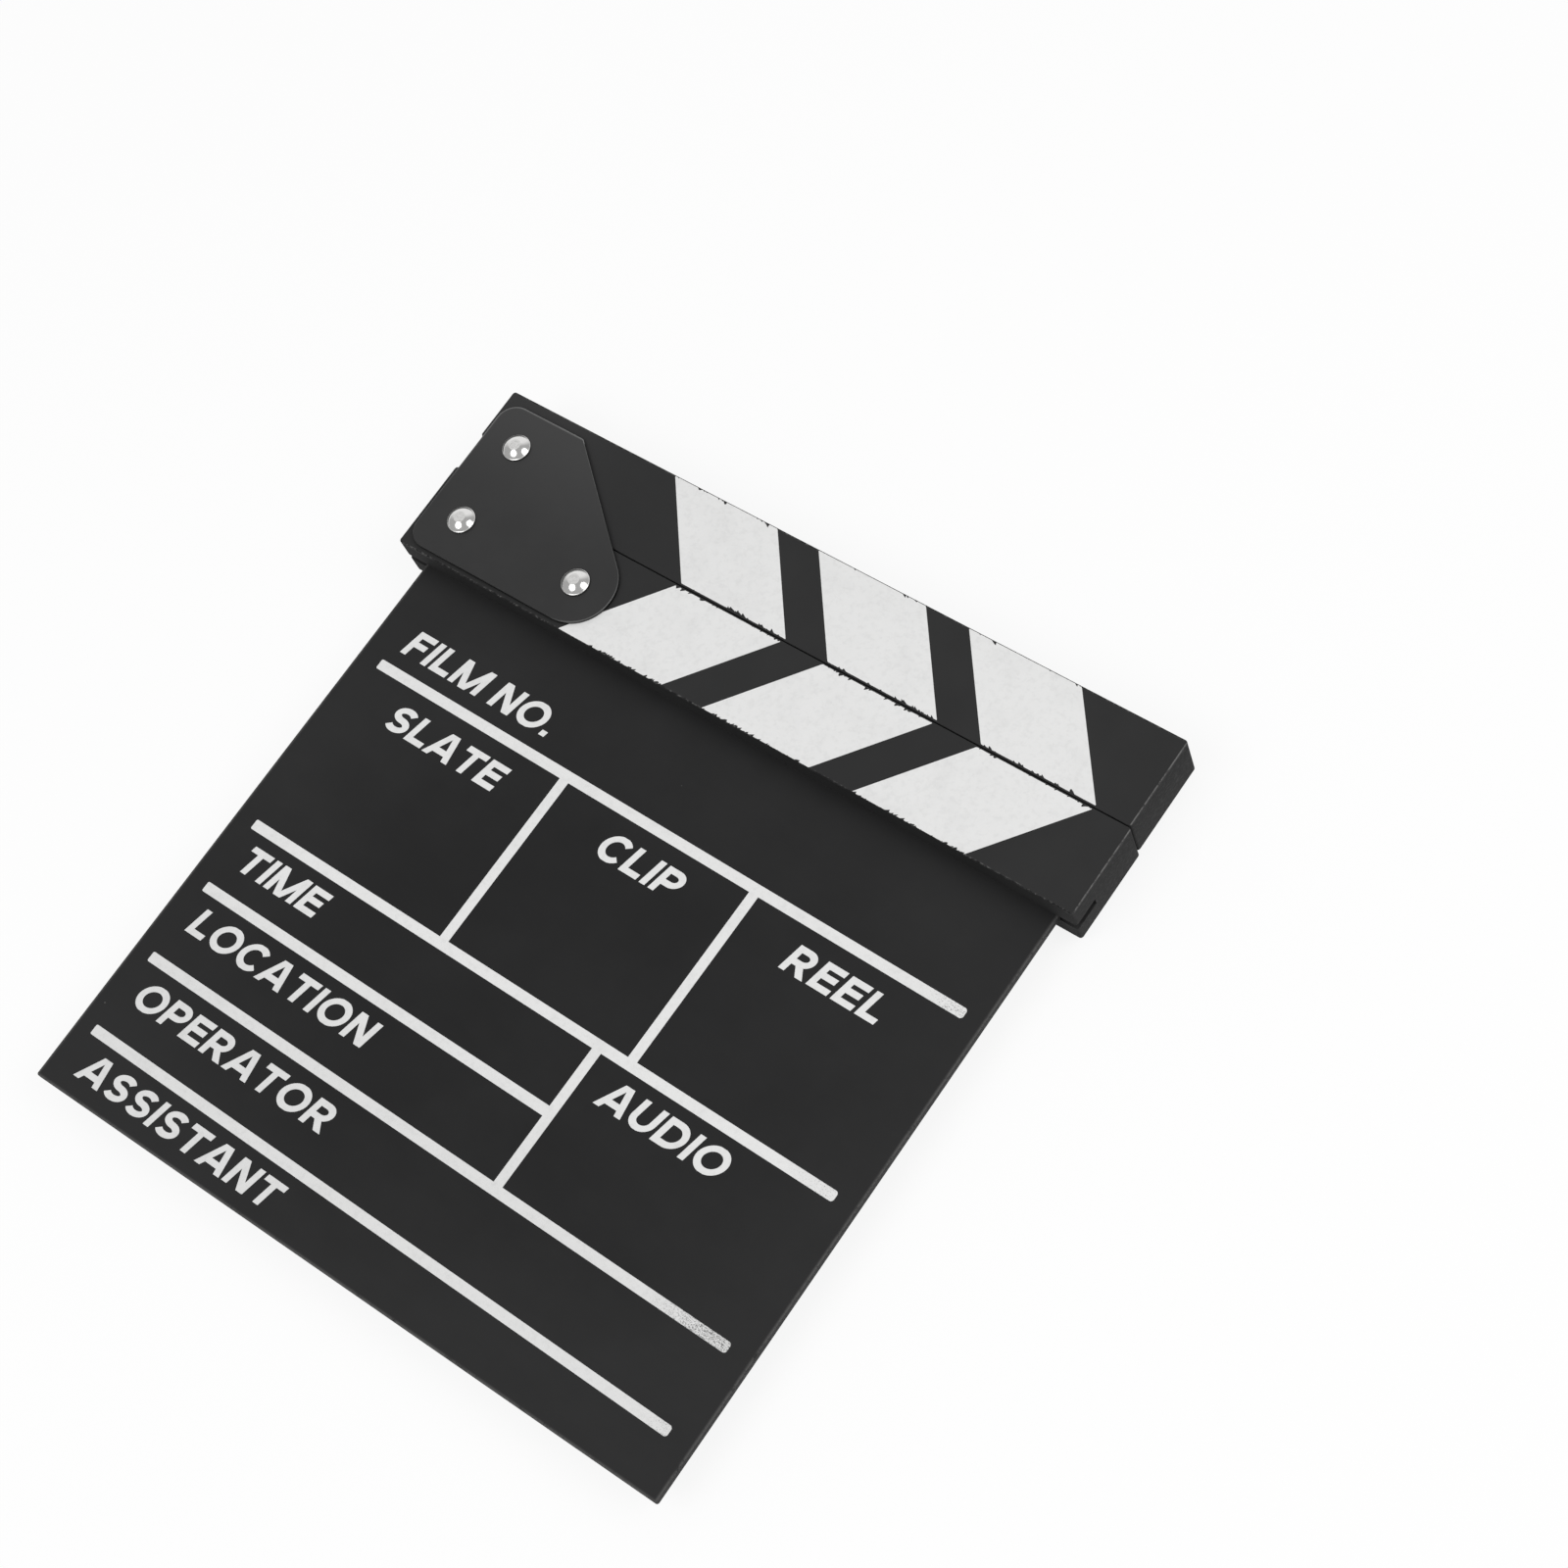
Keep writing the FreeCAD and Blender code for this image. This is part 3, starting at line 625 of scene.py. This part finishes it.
upperStripes = stripesOn("upper", "upper_stripes")
upperStripes.data.materials.append(inkFinish("upperStripeInk", (3, 8, 1)))
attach(upperStripes, "clap_stick")
lowerStripes = stripesOn("lower", "lower_stripes")
lowerStripes.data.materials.append(inkFinish("lowerStripeInk", (14, 2, 6)))
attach(lowerStripes, "board")
print("stripes printed on both sticks")


# ruled lines printed on the slate

printPlace = {"turn": -0.0131, "originX": -100.0, "originY": 53.75, "film": 0.05, "proud": 0.03}

lineSettings = {
    "thick": 2.7, "left": 13.4, "right": 190.45,
    "levels": (-27.95, -77.60, -96.50, -117.50, -139.10),             # middle of each level line
    "shortLine": 2, "shortRight": 121.72,                             # ends at the last upright
    "uprights": ((74.19, 0, 1), (131.60, 0, 1), (123.03, 1, 3)),      # middle, from line, to line
    "uprightThick": 2.62, "leftRound": 0.4, "rightRound": 0.8, "roundSteps": 6,
    "wornEnds": (                                                     # end, length, line's place, how worn
        (89.9, 13.0, 23.3, 0.08), (89.4, 16.0, -26.3, 0.03),
        (88.9, 30.0, -66.2, 0.14), (88.6, 9.0, -87.8, 0.05),
    ),
}


def slab(left, right, low, high, rounds):  # a line of ink, rounds are its corner radii left and right
    line = flatSheet(right - left, high - low)
    half = (right - left) / 2 * mm
    for sign, radius in zip((-1, 1), rounds):
        if radius > 0:
            pickVerts(line, lambda co: co.x * sign > half - tiny)
            bpy.ops.mesh.bevel(offset=radius * mm, segments=lineSettings["roundSteps"], affect="VERTICES")
    bpy.ops.object.mode_set(mode="OBJECT")
    line.location = ((left + right) / 2 * mm, (low + high) / 2 * mm, 0)
    settle(line)
    return line


def onPrint(obj, film=True):  # the print sits a little askew on the slate
    p = printPlace
    obj.rotation_euler = (0, 0, p["turn"])
    level = boxOf("slate_board")[1].z + p["proud"] - (0.0 if film else p["film"] / 2)
    obj.location = (p["originX"] * mm, p["originY"] * mm, level * mm)
    settle(obj)
    if film:
        thicken(obj, p["film"] * mm)


def ruledLines():
    s = lineSettings
    half = s["thick"] / 2
    lines = []
    for i, level in enumerate(s["levels"]):
        short = i == s["shortLine"]
        rounds = (s["leftRound"], 0.0 if short else s["rightRound"])
        right = s["shortRight"] if short else s["right"]
        lines.append(slab(s["left"], right, level - half, level + half, rounds))
    halfUp = s["uprightThick"] / 2
    for middle, above, below in s["uprights"]:
        low, high = s["levels"][below] + half, s["levels"][above] - half
        lines.append(slab(middle - halfUp, middle + halfUp, low, high, (0.0, 0.0)))
    return joinPieces(lines, "ruled_lines")


ruled = ruledLines()
onPrint(ruled)
ruled.data.materials.append(inkFinish("lineInk", (5, 5, 9), lineSettings["wornEnds"]))
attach(ruled, "board")
print("ruled lines printed on the slate")


# captions beside the lines, plain field names drawn with a broad flat pen

captionSettings = {
    "height": 7.2, "slope": 0.212, "wider": 1.06,
    "pen": 0.218, "gap": 0.130, "space": 0.36,                        # in cap heights, like the next three
    "trim": 0.013, "weld": 1e-5, "seam": 1e-4,
    "words": (                                                        # left end and foot on the print, mm
        ("FILM NO.", 16.0, -22.8), ("SLATE", 24.6, -40.8), ("CLIP", 91.6, -40.7), ("REEL", 147.1, -40.7),
        ("TIME", 16.3, -89.1), ("AUDIO", 130.1, -89.1), ("LOCATION", 16.4, -108.0),
        ("OPERATOR", 16.7, -129.4), ("ASSISTANT", 17.0, -150.4),
    ),
}


def bow(middleX, middleY, reachX, reachY, start, end):  # part of an ellipse, angles in degrees
    leastSteps, stepTurn = 6, 9
    steps = max(leastSteps, int(abs(end - start) / stepTurn))
    turns = [math.radians(start + (end - start) * i / steps) for i in range(steps + 1)]
    return [(middleX + reachX * math.cos(t), middleY + reachY * math.sin(t)) for t in turns]


def bar(level, right, left=0.03):  # a level stroke
    return [(left, level), (right, level)]


def post(place):  # an upright stroke
    return [(place, 0), (place, 1)]


def penLetters():  # width and pen paths of each letter, in cap heights
    foot = captionSettings["pen"] / 2
    top = 1 - foot
    under, over = -0.2, 1.2                                           # slanted strokes are trimmed later
    waist = 0.43
    stem = post(foot)
    bowlRound = bow(0.43, (top + waist) / 2, 0.27, (top - waist) / 2, 90, -90)[1:]
    bowl = [(foot, top), (0.43, top), *bowlRound, (foot, waist)]
    belly = [(foot, top), (0.42, top), *bow(0.42, 0.5, 0.40, top - 0.5, 90, -90)[1:], (foot, foot)]
    upperCurl = bow(0.41, 0.6975, 0.29, 0.1975, 28, 270)
    lowerCurl = bow(0.41, 0.3025, 0.30, 0.1975, 90, -152)[1:]
    cup = bow(0.44, 0.40, 0.44 - foot, 0.31, 180, 360)[1:-1]
    valley = [[(0.04, over), (0.65, under)], [(1.14, over), (0.53, under)]]
    return {
        "A": (0.98, [[(0.02, under), (0.50, over)], [(0.96, under), (0.48, over)], bar(0.28, 0.76, 0.22)]),
        "C": (0.92, [bow(0.49, 0.5, 0.39, 0.415, 40, 320)]),
        "D": (0.92, [stem, belly]),
        "E": (0.77, [stem, bar(top, 0.75), bar(0.52, 0.70), bar(foot, 0.77)]),
        "F": (0.72, [stem, bar(top, 0.72), bar(0.50, 0.64)]),
        "I": (2 * foot, [stem]),
        "L": (0.70, [stem, bar(foot, 0.70)]),
        "M": (1.18, [stem, post(1.18 - foot), *valley]),
        "N": (0.88, [stem, post(0.88 - foot), [(0.02, over), (0.86, under)]]),
        "O": (1.04, [bow(0.52, 0.5, 0.42, 0.415, 0, 360)]),
        "P": (0.80, [stem, bowl]),
        "R": (0.90, [stem, bowl, [(0.43, waist), (0.88, -0.16)]]),
        "S": (0.82, [[*upperCurl, *lowerCurl]]),
        "T": (0.82, [bar(top, 0.82, 0), [(0.41, 0), (0.41, 0.95)]]),
        "U": (0.88, [[(foot, 1), (foot, 0.40), *cup, (0.88 - foot, 0.40), (0.88 - foot, 1)]]),
        ".": (0.21, [[(0.105, 0), (0.105, 0.21)]]),
    }


def polyline(name, dimensions, points, closed):  # a curve object through these points
    shape = bpy.data.curves.new(name, "CURVE")
    shape.dimensions = dimensions
    spline = shape.splines.new("POLY")
    spline.points.add(len(points) - 1)
    for point, (x, y) in zip(spline.points, points):
        point.co = (x, y, 0, 1)
    spline.use_cyclic_u = closed
    curve = bpy.data.objects.new(name, shape)
    bpy.context.scene.collection.objects.link(curve)
    return curve


def penTip():  # cross-section of the pen, flat on the slate
    s = captionSettings
    half = s["pen"] / 2
    thin = printPlace["film"] / s["height"] / 2
    return polyline("penTip", "2D", ((-half, -thin), (half, -thin), (half, thin), (-half, thin)), True)


def drawStroke(path, tip):
    s = captionSettings
    closed = math.dist(path[0], path[-1]) < tiny
    stroke = polyline("stroke", "3D", path[:-1] if closed else path, closed)
    stroke.data.twist_mode = "Z_UP"
    stroke.data.bevel_mode = "OBJECT"
    stroke.data.bevel_object = tip
    stroke.data.use_fill_caps = True
    pickOnly(stroke)
    bpy.ops.object.convert(target="MESH")
    stroke = bpy.context.object
    editAll(stroke)
    bpy.ops.mesh.remove_doubles(threshold=s["weld"])
    for level, outward in ((-s["trim"], -1), (1 + s["trim"], 1)):     # trims slanted strokes
        plane = {"plane_co": (0, level, 0), "plane_no": (0, outward, 0)}
        bpy.ops.mesh.select_all(action="SELECT")
        bpy.ops.mesh.bisect(**plane, use_fill=True, clear_outer=True)
    bpy.ops.mesh.select_all(action="SELECT")
    bpy.ops.mesh.normals_make_consistent(inside=False)
    bpy.ops.object.mode_set(mode="OBJECT")
    return stroke


def drawLetter(paths, tip):
    letter, *others = [drawStroke(path, tip) for path in paths]
    for stroke in others:                                             # melts the strokes into one
        melt = letter.modifiers.new("melt", "BOOLEAN")
        melt.operation = "UNION"
        melt.solver = "EXACT"
        melt.object = stroke
        pickOnly(letter)
        bpy.ops.object.modifier_apply(modifier=melt.name)
        bpy.data.objects.remove(stroke)
    editAll(letter)
    bpy.ops.mesh.remove_doubles(threshold=captionSettings["seam"])    # seams left by the melting
    bpy.ops.mesh.dissolve_degenerate(threshold=captionSettings["seam"])
    bpy.ops.mesh.normals_make_consistent(inside=False)
    bpy.ops.object.mode_set(mode="OBJECT")
    bpy.ops.object.shade_flat()
    return letter


def writeCaptions():
    s = captionSettings
    letters = penLetters()
    tip = penTip()
    masters = {}
    for letter in sorted(set("".join(row[0] for row in s["words"])) - {" "}):
        masters[letter] = drawLetter(letters[letter][1], tip)
    written = []
    scale = s["height"] * mm
    lean = Matrix(((1, s["slope"], 0, 0), (0, 1, 0, 0), (0, 0, 1, 0), (0, 0, 0, 1)))
    for word, left, baseline in s["words"]:
        pen = 0.0
        for letter in word:
            if letter == " ":
                pen += s["space"]
                continue
            copy = bpy.data.objects.new("letter", masters[letter].data.copy())
            bpy.context.scene.collection.objects.link(copy)
            copy.data.transform(lean @ Matrix.Translation((pen, 0, 0)))
            copy.scale = (scale * s["wider"], scale, scale)
            copy.location = (left * mm, baseline * mm, 0)
            settle(copy)
            written.append(copy)
            pen += letters[letter][0] + s["gap"]
    for spare in [*masters.values(), tip]:
        bpy.data.objects.remove(spare)
    return joinPieces(written, "captions")


captions = writeCaptions()
onPrint(captions, film=False)
captions.data.materials.append(inkFinish("captionInk", (9, 1, 4)))
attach(captions, "board")
print("captions printed on the slate")


# floor, light and camera

stageSettings = {
    "floor": (0.96, 0.96, 0.96), "floorSize": 9.0, "floorDrop": 0.02,   # m, mm
    "floorGrain": {"size": 260, "detail": 2, "rough": 0.5}, "grainShare": 0.4, "grainShade": 0.985,
    "floorRoughness": 0.9,
    "floorWhite": (0.86, 1.0), "whiteFrom": (220.0, 900.0),           # share of white, mm from the board
    "worldLight": 0.52,
    "farSide": (-0.587, 0.718, 0.374), "roomGrey": 0.48,              # white side, rest of the room
    "sideFrom": (0.52, 0.90),                                         # where the room turns white
    "lamps": (                                                        # direction from the board, watts
        ("sideLamp", (0.66, 0.31, 0.685), 4.13),
        ("footLamp", (-0.165, -0.50, 0.85), 4.09),
    ),
    "lampWidth": 0.78, "lampDistance": 1.15,                          # m
}


def makeFloor():
    s = stageSettings
    deselectAll()
    bpy.ops.mesh.primitive_plane_add(size=s["floorSize"], location=(0, 0, -s["floorDrop"] * mm))
    floor = bpy.context.object
    floor.name = "floor"
    paper = Finish("floorPaper")
    grain = paper.noise(**s["floorGrain"]) * s["grainShare"]
    base = paper.mixColour(grain, s["floor"], tuple(v * s["grainShade"] for v in s["floor"]))
    sockets = {"Base Color": base, "Roughness": s["floorRoughness"], "Specular IOR Level": 0.0}
    sheet = paper.node("BsdfPrincipled", {}, sockets)
    white = paper.node("Emission", {}, {"Color": (1, 1, 1, 1), "Strength": 1.0})
    camera, gloss, glass = paper.seenRays()
    away = (paper.x * paper.x + paper.y * paper.y) ** 0.5
    share = camera.most(gloss).most(glass) * paper.ramp(away, *s["whiteFrom"], *s["floorWhite"])
    floor.data.materials.append(paper.hand(paper.node("MixShader", {}, {0: share, 1: sheet, 2: white})))


def makeWorld():
    s = stageSettings
    world = bpy.data.worlds.new("studio")
    bpy.context.scene.world = world
    sky = Nodes(world)
    camera, gloss, glass = sky.seenRays()
    sides = {0: sky.node("TexCoord", out="Generated"), 1: s["farSide"]}
    side = sky.node("VectorMath", {"operation": "DOT_PRODUCT"}, sides, out="Value")
    room = sky.ramp(side, *s["sideFrom"], s["roomGrey"], 1.0)
    clear = camera.most(glass)
    strength = s["worldLight"] * (1 - clear.most(gloss)) + clear + gloss * room
    backdrop = sky.node("Background", {}, {"Color": (1, 1, 1, 1), "Strength": strength})
    sky.node("OutputWorld", {}, {0: backdrop}, out=None)


def makeLamps():
    s = stageSettings
    for name, direction, watts in s["lamps"]:
        lamp = bpy.data.lights.new(name, "AREA")
        lamp.shape = "DISK"
        lamp.size = s["lampWidth"]
        lamp.energy = watts
        holder = bpy.data.objects.new(name, lamp)
        bpy.context.scene.collection.objects.link(holder)
        away = Vector(direction).normalized()
        holder.location = away * s["lampDistance"]
        holder.rotation_euler = away.to_track_quat("Z", "Y").to_euler()


cameraSettings = {
    "place": (0.3422, -0.12695, 0.6720),                              # m
    "right": (0.7897, 0.5678, -0.2323), "up": (-0.4428, 0.7896, 0.4249), "back": (0.4247, -0.2327, 0.8749),
    "lens": 75.07, "sensor": 36.0,
}


def makeCamera():
    s = cameraSettings
    camera = bpy.data.cameras.new("photoCamera")
    camera.lens = s["lens"]
    camera.sensor_width = s["sensor"]
    camera.dof.use_dof = False
    holder = bpy.data.objects.new("photoCamera", camera)
    bpy.context.scene.collection.objects.link(holder)
    turn = Matrix((s["right"], s["up"], s["back"])).transposed()
    holder.rotation_euler = turn.to_euler()
    holder.location = s["place"]
    bpy.context.scene.camera = holder


makeFloor()
makeWorld()
makeLamps()
makeCamera()
bpy.context.scene.view_settings.view_transform = "Standard"
print("floor, lamps and camera placed")
